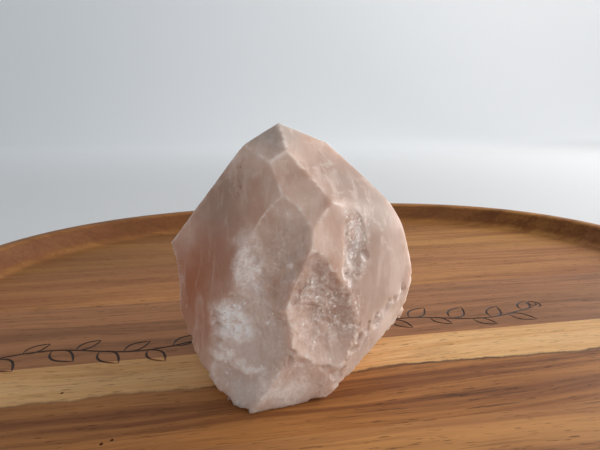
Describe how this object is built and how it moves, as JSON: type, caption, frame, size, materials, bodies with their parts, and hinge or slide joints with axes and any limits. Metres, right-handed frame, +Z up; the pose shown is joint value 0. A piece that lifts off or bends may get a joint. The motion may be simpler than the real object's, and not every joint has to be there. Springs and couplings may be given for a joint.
{
  "type": "rose quartz point on wooden tray",
  "caption": "Upright rough rose quartz point with flat faces and broken hollows, standing in a shallow oval wooden tray glued up from staves.",
  "frame": {"origin": "middle of the tray's flat underside, on the surface the tray stands on", "axes": "+X along the grain of the tray, to the right when seen from the front; +Y across the grain, away from the front; +Z up"},
  "size_m": [0.4, 0.286, 0.093],
  "materials": {
    "rose_quartz": "natural, smooth faces and rough breaks",
    "stave_light": "oiled satin",
    "stave_sapwood": "oiled satin",
    "stave_dark": "oiled satin",
    "stave_medium": "oiled satin"
  },
  "bodies": {
    "root": {"rose_quartz_point": "rose_quartz", "front_stave": "stave_light", "sapwood_stave": "stave_sapwood", "dark_stave": "stave_dark", "pale_stave": "stave_light", "streaked_stave": "stave_medium", "rear_stave": "stave_medium"}
  },
  "joints": []
}
